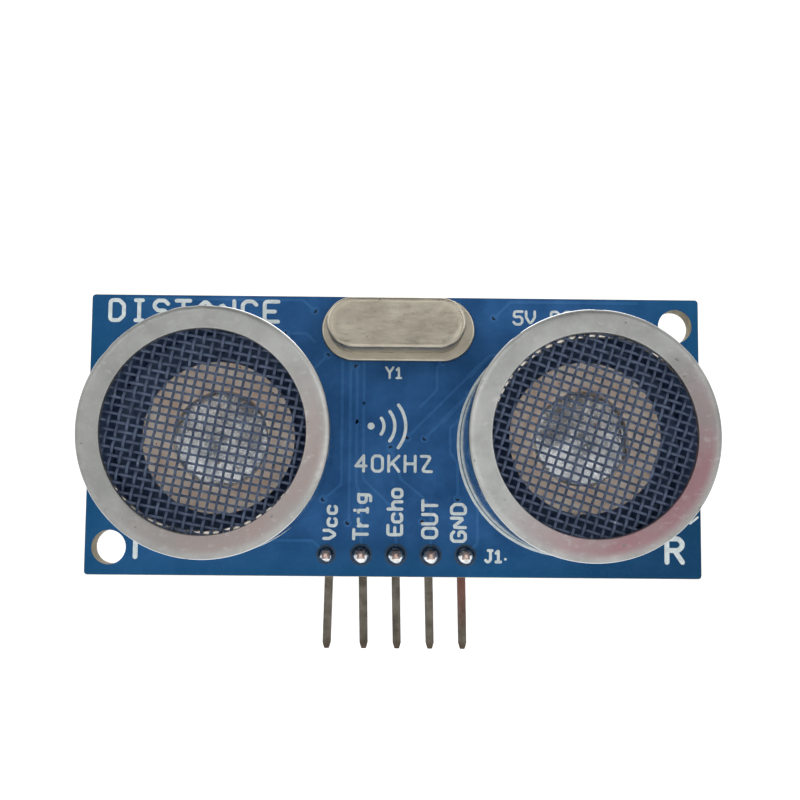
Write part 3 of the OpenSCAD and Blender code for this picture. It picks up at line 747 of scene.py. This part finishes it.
def front_print():
    """Generic words and marks, a picture of sound waves, and a ring round each can."""
    bm = bmesh.new()
    for text, x, z, height, pitch, width in (
            ("DISTANCE", -21.29, 8.22, 1.8, 1.63, 0.3), ("5V DC", 8.65, 8.25, 1.16, 0.93, 0.2),
            ("Y1", -0.76, 4.18, 0.95, 0.68, 0.17), ("40KHZ", -2.94, -2.73, 1.34, 1.2, 0.22),
            ("J1", 6.57, -9.26, 1.04, 0.68, 0.22), ("R", 19.78, -9.25, 2.06, 1.6, 0.37),
            ("T", -19.55, -9.15, 2.06, 1.6, 0.36)):
        write(bm, facing(x, z), text, height, pitch, width)
    for text, x, z, height, pitch in (("Vcc", -4.1, -7.67, 1.12, 0.9), ("Trig", -1.83, -7.67, 1.22, 0.87),
                                      ("Echo", 0.68, -7.36, 1.24, 0.9), ("OUT", 3.24, -7.55, 1.26, 1.0),
                                      ("GND", 5.34, -7.8, 1.26, 1.0)):
        write(bm, turned(facing(x, z), 90), text, height, pitch, 0.24)
    waves = facing(-1.75, 0.69)
    turns = [math.radians(WAVE_SPREAD * (i / 16 - 1)) for i in range(33)]
    for radius in WAVE_RADII:
        stroke(bm, waves, [(radius * math.cos(turn), radius * math.sin(turn)) for turn in turns], 0.25)
    lathe(bm, waves, [(0.26, 0), (0.25, INK_T * 0.7), (0.2, INK_T)], 24, loop=False)
    lathe(bm, facing(8.15, -8.95), [(0.1, 0), (0.09, INK_T)], 12, loop=False)
    stroke(bm, facing(0, 0), [(21.7, -6.25), (22.25, -5.8)], 0.16)
    for side, shift in (("transmitter", -0.35), ("receiver", 0)):
        can = middle(side + "_can")
        ring = [(8.07, 0), (8.09, INK_T), (8.26, INK_T), (8.28, 0)]
        lathe(bm, facing(can.x + shift, can.z), ring, 128)
    piece("front_print", bm, "ink")


def reading(x, z):
    """Local axes on the back face for someone facing it: local +X to their right, and local +Y up."""
    return Matrix(((-MM, 0, 0, x * MM), (0, 0, MM, BOARD_T * MM), (0, MM, 0, z * MM), (0, 0, 0, 1)))


def outline_print(bm, x, z, width, height):
    half_w, half_h = width / 2, height / 2
    path = soften([(-half_w, -half_h), (half_w, -half_h), (half_w, half_h), (-half_w, half_h)], 0.12, 3)
    stroke(bm, reading(x, z), path + [path[0]], 0.15)


def back_print():
    """Part names and outlines on the back."""
    bm = bmesh.new()
    for number, (name, _) in enumerate(CHIPS):
        low, high = box(name + "_body")
        x, z = (low.x + high.x) / 2, (low.z + high.z) / 2
        outline_print(bm, x, z, high.x - low.x + 0.7, high.z - low.z + 0.7)
        write(bm, reading(x + 2.1, high.z + 0.75), "U" + str(number + 1), 0.8, 0.62, 0.15)
        lathe(bm, reading(x + 2.35, high.z + 0.1), [(0.14, 0), (0.12, INK_T)], 16, loop=False)
    at = middle("transistor_body")
    write(bm, reading(at.x - 1.9, at.z - 0.4), "Q1", 0.8, 0.62, 0.15)
    for x, z, turn in RESISTORS + CAPACITORS:
        for side in (-1, 1):
            stroke(bm, turned(reading(x, z), turn), [(-0.75, side * 0.65), (0.75, side * 0.65)], 0.12)
    strip = STRIP_HIGH - STRIP_LOW
    outline_print(bm, PIN_XS[2], PIN_Z, strip.x + 0.5, strip.z + 0.5)
    for text, x, z in (("GND", 10.6, -9.2), ("5V", -7.4, -9.2), ("R", 18.2, -9.2), ("T", -16.6, -9.2)):
        write(bm, reading(x, z), text, 1.1, 0.85, 0.18)
    piece("back_print", bm, "ink")


board()
traces("front_traces", facing, FRONT_TRACES)
front_print()
traces("back_traces", reading, BACK_TRACES, wide=2)
back_print()


# ---------- transducers

OPENING_R = 6.5
SCREEN_PITCHES = (0.6, 0.53)
SCREEN_R = 7.05
WIRE_SIDES = 6
# A wire is a little wider than it is deep
WIRE_WIDENING = 1.06
RING_R = (6.73, 7.12)
VIBRATOR_R = 4.55
BRIGHT_R = 3.3
RING_SHIFT = 0.47
SCREEN_TURNS = {"transmitter": -11, "receiver": -18.5}
RING_TURNS = {"transmitter": 97, "receiver": -65}
CONE_SHIFTS = {"transmitter": (0.58, -0.2), "receiver": (-0.07, 0.0)}
# Colour, direction and share of the painted pink reflection on each can's face, and the side on which painted
# light makes the face brighter
PAINTED_REFLECTIONS = {"transmitter": ((0.27, 0.215, 0.205), -50, 0.9, 1), "receiver": ((0.29, 0.175, 0.19), -48, 1.0, -1)}
# Angle and depth of the knocks round each can's face
DENTS = {"transmitter": ((96, 0.05), (108, 0.04), (86, 0.04), (141, 0.04)),
         "receiver": ((88, 0.03), (128, 0.04))}
# How far the top of each can leans from its foot, sideways and up
CAN_LEANS = {"transmitter": (0.4, 0.04), "receiver": (-0.26, 0.0)}


def leaning(side, lift=0.0, shift=(0, 0)):
    """Local axes on the board's front face at the foot of a can, with +Z along the can's leaning side."""
    low, high = box(side + "_can")
    lean_x, lean_y = [lean / -low.y for lean in CAN_LEANS[side]]
    slope = Matrix(((1, 0, lean_x, 0), (0, 1, lean_y, 0), (0, 0, 1, 0), (0, 0, 0, 1)))
    foot = facing((low.x + high.x) / 2, (low.z + high.z) / 2)
    return foot @ slope @ Matrix.Translation((*shift, lift))


def can(side, radius, height, wall):
    """Spun aluminium can: a wide rounded shoulder, a flat face and an eased opening."""
    inner = radius - wall
    outside = [(inner + 0.1, 0, 0.05), (radius, 0, 0.08), (radius, height, 0.5), (OPENING_R, height, 0.12),
               (OPENING_R, height - wall, 0.06)]
    inside = [(OPENING_R + 0.1, height - wall, 0.02), (inner, height - wall, 0.2), (inner, 0.15, 0.05)]
    bm = bmesh.new()
    rings = lathe(bm, leaning(side), soften(outside + inside, steps=6), 160)
    dent(rings, side, radius, height)
    spot = leaning(side, height).translation / MM
    finish = side + "_aluminium"
    MATERIALS[finish] = can_surface(finish, spot.x, spot.z, *PAINTED_REFLECTIONS[side])
    made = piece(side + "_can_shell", bm, finish, side + "_can")
    made.data.materials.append(can_side_surface(side + "_can_side"))
    made.data.materials.append(MATERIALS["can_inside"])
    to_local = leaning(side).inverted()
    for face in made.data.polygons:
        spot = to_local @ face.center
        out = math.hypot(spot.x, spot.y)
        if out > radius - 0.05:
            face.material_index = 1
        elif spot.z < height - wall + 0.03 and out < inner + 0.05:
            face.material_index = 2


def dent(rings, side, radius, height):
    """Small knocks round the edge of a can's face, at angles in degrees, with their depth."""
    to_local = leaning(side).inverted()
    place = leaning(side)
    for ring in rings:
        for vertex in ring:
            spot = to_local @ vertex.co
            out = math.hypot(spot.x, spot.y)
            if spot.z < height - 0.8 or out < radius - 0.9:
                continue
            for angle, depth in DENTS[side]:
                turn = math.degrees(math.atan2(spot.y, spot.x)) - angle
                turn = (turn + 180) % 360 - 180
                press = depth * math.exp(-(turn / 2.2) ** 2) * (out - radius + 0.9) / 0.9
                spot.x -= press * spot.x / out
                spot.y -= press * spot.y / out
                spot.z -= press * 0.4
            vertex.co = place @ spot


def woven_screen(side, low, high):
    """Square weave of wires that pass over and under each other, clipped to a disc."""
    wire_r = (high - low) / 4
    place = turned(leaning(side, (low + high) / 2), SCREEN_TURNS[side])
    section = [(wire_r * math.cos(2 * math.pi * i / WIRE_SIDES),
                WIRE_WIDENING * wire_r * math.sin(2 * math.pi * i / WIRE_SIDES)) for i in range(WIRE_SIDES)]
    bm = bmesh.new()
    for layer in (0, 1):
        step, other = SCREEN_PITCHES[1 - layer], SCREEN_PITCHES[layer]
        # The path runs in the plane of its own length and the height above the board
        if layer:
            lay = place @ Matrix(((0, 0, 1, 0), (1, 0, 0, 0), (0, 1, 0, 0), (0, 0, 0, 1)))
        else:
            lay = place @ STANDING
        for k in range(-int(SCREEN_R / step), int(SCREEN_R / step) + 1):
            half = math.sqrt(SCREEN_R ** 2 - (k * step) ** 2)
            swing = wire_r * (-1) ** (k + layer)
            count = max(6, round(2 * half / other * 5))
            lean = random.uniform(-0.02, 0.02)
            offset = k * step * (1 if layer else -1) + random.uniform(-0.018, 0.018)
            path = []
            for i in range(count + 1):
                s = half * (2 * i / count - 1)
                path.append((s, swing * math.cos(math.pi * s / other)))
            skewed = lay @ Matrix.Translation((0, 0, offset)) @ Matrix.Rotation(lean * 0.1, 4, "Y")
            sweep(bm, skewed, path, section)
    piece(side + "_woven_screen", bm, "screen_wire", side + "_screen", crease=60)


def bright_ring(side, low, high):
    """Ring behind the screen's rim, sitting a little off centre."""
    angle = math.radians(RING_TURNS[side])
    shifted = leaning(side, 0, (RING_SHIFT * math.cos(angle), RING_SHIFT * math.sin(angle)))
    bm = bmesh.new()
    inner, outer = RING_R
    lathe(bm, shifted, soften([(inner, low), (outer, low), (outer, high), (inner, high)], 0.1), 128)
    piece(side + "_bright_ring", bm, "ring_metal", side + "_screen_ring")


def cone(side):
    """Funnel of lacquered foil with a bright domed middle and a hub."""
    low, high = box(side + "_cone")
    foot, rim = -high.y, -low.y
    neck = foot + 0.3
    bm = bmesh.new()
    upper = [(3.15, neck + 0.62), (3.4, neck + 0.62), (4.9, rim - 0.15), (5.05, rim - 0.02)]
    lower = [(5.0, rim - 0.16), (3.3, neck + 0.35), (2.0, neck + 0.2), (1.2, neck), (1.2, foot), (1.0, foot),
             (1.0, neck + 0.2)]
    place = leaning(side, 0, CONE_SHIFTS[side])
    lathe(bm, place, soften(upper + lower, 0.12), 128)
    piece(side + "_cone_funnel", bm, "cone_foil", side + "_cone")
    bm = bmesh.new()
    dome = [(BRIGHT_R, neck + 0.5), (BRIGHT_R, neck + 0.6)]
    dome_r, hub_r = BRIGHT_R - 0.05, 0.55
    dome += [(dome_r * math.cos(t), neck + 0.62 + 0.34 * math.sin(t))
             for t in [math.pi / 2 * i / 14 for i in range(14)] if dome_r * math.cos(t) > hub_r]
    dome += [(0.5, neck + 0.9), (0.47, neck + 0.84), (0.4, neck + 0.84), (0.36, neck + 0.97),
             (0.2, neck + 1.0)]
    rings = lathe(bm, place, dome, 96, loop=False)
    for ring in rings[2:]:
        for i, vertex in enumerate(ring):
            turn = 2 * math.pi * i / len(ring)
            crease = 0.05 * math.sin(3 * turn + 1) + 0.03 * math.sin(7 * turn)
            vertex.co.y += crease * (vertex.co - ring[i - len(ring) // 2].co).length / 6.5
    piece(side + "_cone_middle", bm, "cone_middle")


def vibrator(side):
    """Brass disc behind the cone, small enough to stay hidden by it."""
    low, high = box(side + "_vibrator_plate")
    bm = bmesh.new()
    place = leaning(side, 0, CONE_SHIFTS[side])
    stack(bm, place, circle(0, 0, VIBRATOR_R, 96), eased(-high.y, -low.y, 0.04, 0.04))
    piece(side + "_vibrator_disc", bm, "vibrator_brass", side + "_vibrator_plate")


def base(side):
    low, high = box(side + "_base")
    bm = bmesh.new()
    stack(bm, leaning(side), circle(0, 0, (high.x - low.x) / 2, 96), eased(-high.y, -low.y, 0.1, 0.15))
    piece(side + "_base_disc", bm, "base_plastic", side + "_base")


def terminals(side):
    """Two round pins from the base through the board."""
    low, high = box(side + "_terminals")
    radius, places = lead_pair(side + "_terminals")
    bm = bmesh.new()
    for x, z in places:
        stack(bm, facing(x, z), circle(0, 0, radius, 32), eased(-high.y, -low.y, 0.15, 0.08))
    piece(side + "_terminal_pins", bm, "tinned_metal", side + "_terminals")


def transducer(side):
    low, high = box(side + "_can")
    height = -low.y
    screen_low, screen_high = box(side + "_screen")
    ring_low, ring_high = box(side + "_screen_ring")
    can(side, (high.x - low.x) / 2, height, height + screen_low.y)
    woven_screen(side, -screen_high.y, -screen_low.y)
    bright_ring(side, -ring_high.y, -ring_low.y)
    cone(side)
    vibrator(side)
    base(side)
    terminals(side)
    dress("piezo_ceramic", side + "_piezo_disc")
    dress("silicone", side + "_damping_ring")
    dress("copper_wire", side + "_lead_wires")


random.seed(5)
for side in SIDES:
    transducer(side)


# ---------- crystal

# The lid is a little smaller than its seat, and sits against the seat's upper left. The flange reaches right
LID_RISE = 0.09
LID_SHIFT = 0.12
FLANGE_SHIFT = 0.04


def crystal():
    """Pressed lid on a flange, with rounded ends."""
    low, high = box("crystal_can")
    base_low, base_high = box("crystal_base")
    bm = bmesh.new()
    outline = obround(base_high.x - base_low.x + 2 * FLANGE_SHIFT, base_high.z - base_low.z)
    stack(bm, facing(CRYSTAL.x + FLANGE_SHIFT, CRYSTAL.z), outline, eased(0, -base_low.y, 0.06, 0.14))
    piece("crystal_flange", bm, "nickel_shell", "crystal_base")
    foot = -high.y
    top = -low.y
    bm = bmesh.new()
    profile = [(0.14, foot - 0.02), (0.13, foot + 0.09), (0.02, foot + 0.13), (0, foot + 0.2)]
    profile += eased(foot + 0.35, top, 0.0, 0.22, steps=7)[8:]
    profile += [(0.3, top - 0.004), (0.38, top - 0.03), (0.9, top - 0.035)]
    stack(bm, facing(CRYSTAL.x - LID_SHIFT, CRYSTAL.z + LID_RISE),
          obround(high.x - low.x - 2 * LID_SHIFT, high.z - low.z - 2 * LID_RISE), profile)
    piece("crystal_lid", bm, "nickel_shell", "crystal_can")
    dress("seal_glass", "crystal_seals")
    dress("tinned_metal", "crystal_leads")
    dress("spring_metal", "crystal_holders")
    dress("quartz", "quartz_blank")


crystal()


# ---------- header

PIN_W = 0.64
PIN_LEANS = (1.2, -1.3, -1.4, -1.4, -1.2)
PIN_LEG_Y = 5.5
PIN_FRONT = 0.9
PIN_BEND_R = 0.9
BEAD_R = 0.66
FIRST_BEAD_R = 0.56


def pins():
    """Square pins, which go back through the board and turn down, each leaning its own way."""
    section = plate(PIN_W, PIN_W, 0.1)()
    for node, x, lean in zip(PIN_NODES, PIN_XS, PIN_LEANS):
        low = box(node)[0]
        tip = low.z - PIN_Z
        path = [(-PIN_FRONT, 0), (-PIN_FRONT + 0.12, 0), (-PIN_FRONT + 0.4, 0), (PIN_LEG_Y - PIN_BEND_R, 0)]
        for i in range(1, 8):
            turn = math.pi / 2 * i / 8
            path.append((PIN_LEG_Y - PIN_BEND_R * (1 - math.sin(turn)), PIN_BEND_R * (math.cos(turn) - 1)))
        path += [(PIN_LEG_Y, z) for z in (-PIN_BEND_R, tip + 0.5, tip + 0.12, tip + 0.02)]
        scales = [0.3, 0.5] + [1.0] * (len(path) - 4) + [0.68, 0.52]
        rings = []
        for i, (y, z) in enumerate(path):
            back = Vector(path[i]) - Vector(path[max(i - 1, 0)])
            ahead = Vector(path[min(i + 1, len(path) - 1)]) - Vector(path[i])
            along = (back.normalized() + ahead.normalized()).normalized()
            scale = scales[i]
            rings.append([(y - along.y * across * scale, z + along.x * across * scale, out * scale)
                          for across, out in section])
        place = (Matrix.Translation((x * MM, 0, PIN_Z * MM)) @ Matrix.Rotation(math.radians(lean), 4, "Y")
                 @ Matrix(((0, 0, MM, 0), (MM, 0, 0, 0), (0, MM, 0, 0), (0, 0, 0, 1))))
        bm = bmesh.new()
        skin(bm, place, rings)
        made = piece(node + "_metal", bm, "pin_metal", node)
        made.data.materials.append(MATERIALS["pin_end"])
        for face in made.data.polygons:
            if face.center.y < 0:
                face.material_index = 1


def header_strip():
    """Five blocks with notched corners, moulded in one."""
    depth = STRIP_HIGH.y - STRIP_LOW.y
    half = (STRIP_HIGH.z - STRIP_LOW.z) / 2
    reach = PIN_PITCH / 2
    notch = 0.35
    corners = [(-reach, notch - half), (notch - reach, -half), (reach - notch, -half), (reach, notch - half)]
    corners += [(-x, -z) for x, z in corners]

    def outline(inset=0.0):
        return [(x - math.copysign(inset, x) * 0.7, z - math.copysign(inset, z))
                for x, z in soften(corners, 0.06)]

    bm = bmesh.new()
    for x in PIN_XS:
        stack(bm, behind(x, PIN_Z), outline, eased(0.0, depth, 0.04, 0.1))
    piece("header_moulding", bm, "black_plastic", "header_strip")


def joint(bm, place, pad_r, lead_r, height):
    """Concave solder fillet from a round pad up a lead."""
    profile = []
    for i in range(9):
        t = i / 8
        profile.append((pad_r + (lead_r - pad_r) * (1 - (1 - t) ** 2.2), height * t ** 1.6))
    profile.append((lead_r * 0.5, height * 1.02))
    rings = lathe(bm, place, [(pad_r, -0.02)] + profile, 32, loop=False)
    for ring in rings[1:]:
        for i, vertex in enumerate(ring):
            swell = 0.02 * math.sin(3 * math.pi * i / 16 + pad_r * 7) * MM
            vertex.co.x += swell
            vertex.co.z += swell * 0.5


def bead(bm, place, pad_r, height):
    """Rounded solder bead, a little uneven."""
    profile = [(pad_r, -0.02)]
    profile += [(pad_r * math.cos(t) ** 0.8, height * math.sin(t)) for t in
                [math.pi / 2 * i / 10 for i in range(10)]]
    profile.append((0.05, height))
    rings = lathe(bm, place, profile, 32, loop=False)
    for ring in rings[2:]:
        for i, vertex in enumerate(ring):
            vertex.co.x += 0.03 * math.sin(2 * math.pi * i / 16 + pad_r * 9) * MM
            vertex.co.z += 0.02 * math.cos(3 * math.pi * i / 16) * MM


def solder():
    """Beads on the front for the header, and fillets on the back for the transducers and the crystal."""
    bm, rim = bmesh.new(), bmesh.new()
    for i, x in enumerate(PIN_XS):
        pad_r = BEAD_R if i else FIRST_BEAD_R
        bead(bm, facing(x, PIN_Z - 0.04), pad_r, 0.62)
        ring = [(pad_r - 0.05, 0), (pad_r, 0.02), (pad_r + 0.12, 0.02), (pad_r + 0.16, 0)]
        lathe(rim, facing(x, PIN_Z), ring, 40)
    piece("header_joints", bm, "painted_reflection_solder", "header_solder")
    piece("header_flux", rim, "flux")
    bm = bmesh.new()
    for side in SIDES:
        for x, z in lead_pair(side + "_terminals")[1]:
            joint(bm, behind(x, z), 1.1, 0.45, 0.9)
    piece("transducer_joints", bm, "solder", "transducer_solder")
    bm = bmesh.new()
    for x, z in lead_pair("crystal_leads")[1]:
        joint(bm, behind(x, z), 0.75, 0.26, 0.65)
    piece("crystal_joints", bm, "solder", "crystal_solder")


pins()
header_strip()
solder()


# ---------- back of board

def lead_frame(name, sides, path, section, joint_x, pad, rows):
    """Bent leads and their solder joints. Each side is local axes with +X away from the package."""
    metal, joints = bmesh.new(), bmesh.new()
    for side in sides:
        sweep(metal, side @ STANDING, path, section)
        stack(joints, side @ Matrix.Translation((joint_x, 0, 0)), pad, rows)
    piece(name + "_lead_frame", metal, "tinned_metal", name + "_leads")
    piece(name + "_joints", joints, "solder")


def chip(name, leads):
    """Moulded package with a dimple at its first lead, and a row of leads on each side."""
    body = middle(name + "_body")
    low, high = box(name + "_body")
    length = high.z - low.z
    place = behind(body.x, body.z)
    bm = bmesh.new()
    profile = [(0.2, 0.15), (0.16, 0.17), (0.01, 0.72), (0, 0.76), (0, 0.94), (0.01, 0.98), (0.13, 1.58),
               (0.17, 1.635), (0.22, 1.65)]
    made = stack(bm, place, plate(3.9, length, 0.12), profile, caps=False)
    bm.faces.new(tuple(reversed(made[0])))
    dimple = circle(-0.8, 1.0 - length / 2, 0.4, 32)
    bowl = stack(bm, place, dimple, ((0, 1.65), (0.06, 1.6), (0.16, 1.57), (0.3, 1.56)), caps=False)
    bm.faces.new(bowl[-1])
    fill(bm, [made[-1], bowl[0]])
    piece(name + "_package", bm, "chip_plastic", name + "_body")
    path = soften([(1.9, 0.85), (2.25, 0.85, 0.12), (2.6, 0.1, 0.12), (3.0, 0.1)], 0.12, 4, closed=False)
    count = leads // 2
    sides = [turned(place, turn) @ Matrix.Translation((0, (i - (count - 1) / 2) * LEAD_PITCH, 0))
             for turn in (0, 180) for i in range(count)]
    lead_frame(name, sides, path, plate(0.2, 0.4, 0.05, 2)(), 2.82, plate(0.75, 0.58, 0.2, 4),
               ((0, 0), (0.02, 0.03), (0.08, 0.1), (0.18, 0.14), (0.25, 0.15)))


def transistor():
    """Small three-lead package."""
    low, high = box("transistor_body")
    place = behind((low.x + high.x) / 2, (low.z + high.z) / 2)
    bm = bmesh.new()
    top = high.y - BOARD_T
    profile = ((0.08, 0.1), (0.02, 0.4), (0, 0.45), (0, 0.55), (0.03, top - 0.08), (0.07, top - 0.02),
               (0.14, top))
    stack(bm, place, plate(high.x - low.x, high.z - low.z, 0.1), profile)
    piece("transistor_package", bm, "chip_plastic", "transistor_body")
    path = soften([(0.6, 0.5), (0.8, 0.5, 0.08), (0.9, 0.08, 0.08), (1.2, 0.08)], 0.08, 4, closed=False)
    sides = [turned(place @ Matrix.Translation((x, 0, 0)), turn)
             for x, turn in ((-0.95, 90), (0.95, 90), (0, -90))]
    lead_frame("transistor", sides, path, plate(0.12, 0.42, 0.03, 2)(), 1.1, plate(0.6, 0.6, 0.2, 4),
               ((0, 0), (0.02, 0.03), (0.1, 0.1), (0.2, 0.12)))


def small_parts(name, places, height, finish):
    """Ceramic blocks with metal ends, soldered down at both ends."""
    bodies, ends, joints = bmesh.new(), bmesh.new(), bmesh.new()
    for x, z, turn in places:
        place = turned(behind(x, z), turn)
        stack(bodies, place, plate(1.14, 0.76, 0.05, 2), eased(0.02, height - 0.02, 0.04, 0.05))
        for side in (-1, 1):
            end = place @ Matrix.Translation((side * 0.66, 0, 0))
            stack(ends, end, plate(0.28, 0.8, 0.08, 3), eased(0.0, height, 0.05, 0.08))
            stack(joints, end @ Matrix.Translation((side * 0.16, 0, 0)), plate(0.52, 0.88, 0.2, 4),
                  ((0, 0), (0.02, 0.04), (0.08, height * 0.35), (0.16, height * 0.55)))
    piece(name + "_blocks", bodies, finish, name + "_bodies")
    piece(name + "_caps", ends, "tinned_metal", name + "_ends")
    piece(name + "_joints", joints, "solder")


for name, leads in CHIPS:
    chip(name, leads)
transistor()
small_parts("resistor", RESISTORS, 0.45, "resistor_face")
small_parts("capacitor", CAPACITORS, 0.8, "capacitor_ceramic")
